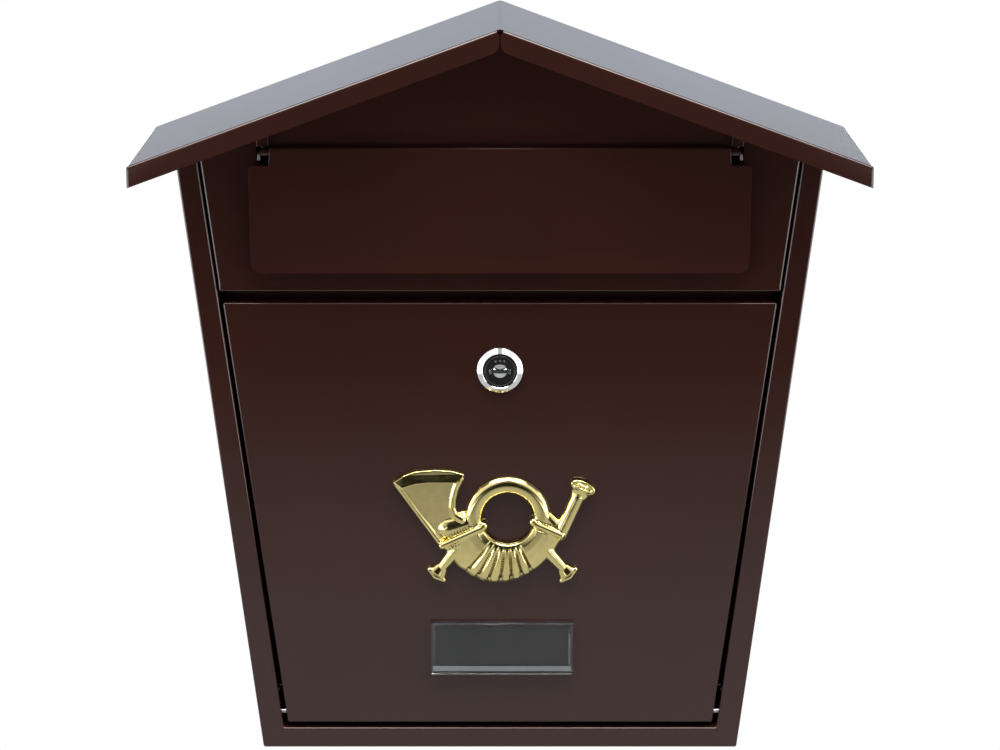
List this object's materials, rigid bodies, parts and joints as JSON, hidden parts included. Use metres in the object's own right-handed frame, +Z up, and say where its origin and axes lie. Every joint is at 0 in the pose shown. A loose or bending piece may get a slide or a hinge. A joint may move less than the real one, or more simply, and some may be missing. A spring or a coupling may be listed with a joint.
{
  "type": "wall mounted mailbox",
  "caption": "Wall mounted letter box of folded sheet steel with a gable roof, a top-hung mail flap and a lockable drop-down door.",
  "frame": {"origin": "on the wall face of the back plate, midway between the four fixing holes", "axes": "+Z up, +Y into the wall, -Y out of the front, X across the letter box"},
  "size_m": [0.365, 0.113, 0.381],
  "materials": {
    "brown_enamel": "semi-gloss chocolate brown powder coat",
    "zinc_plate": "bright zinc plate",
    "chrome": "polished chrome plate",
    "black_plastic": "glossy black",
    "gold_plastic": "vacuum-metallised gold",
    "clear_plastic": "clear moulded plastic",
    "grey_card": "matte dark grey"
  },
  "bodies": {
    "case": {"body_shell": "brown_enamel", "back_plate": "brown_enamel", "upper_panel": "brown_enamel", "roof": "brown_enamel", "door_pin_left": "zinc_plate", "door_pin_right": "zinc_plate", "flap_rod": "brown_enamel"},
    "door": {"door": "brown_enamel", "lock_barrel": "chrome", "lock_washer": "zinc_plate", "lock_nut": "zinc_plate", "emblem": "gold_plastic", "emblem_clip_1": "zinc_plate", "emblem_clip_2": "zinc_plate", "name_holder": "clear_plastic", "holder_clip_1": "zinc_plate", "holder_clip_2": "zinc_plate"},
    "flap": {"flap": "brown_enamel"},
    "lock_cylinder": {"lock_plug": "chrome", "lock_face": "black_plastic", "lock_cam": "zinc_plate", "cam_washer": "zinc_plate", "cam_screw": "zinc_plate"},
    "name_card": {"name_card": "grey_card"}
  },
  "joints": [
    {"name": "door_hinge", "type": "hinge", "parent": "case", "child": "door", "pos_m": [0, -0.084, -0.146], "axis": [1, 0, 0], "range_deg": [0, 120]},
    {"name": "flap_hinge", "type": "hinge", "parent": "case", "child": "flap", "pos_m": [0, -0.092, 0.1525], "axis": [-1, 0, 0], "range_deg": [0, 100]},
    {"name": "lock_turn", "type": "hinge", "parent": "door", "child": "lock_cylinder", "pos_m": [0, -0.088, 0.0401], "axis": [0, 1, 0], "range_deg": [0, 90]},
    {"name": "card_slide", "type": "slide", "parent": "door", "child": "name_card", "axis": [1, 0, 0], "range_m": [0, 0.072]}
  ]
}
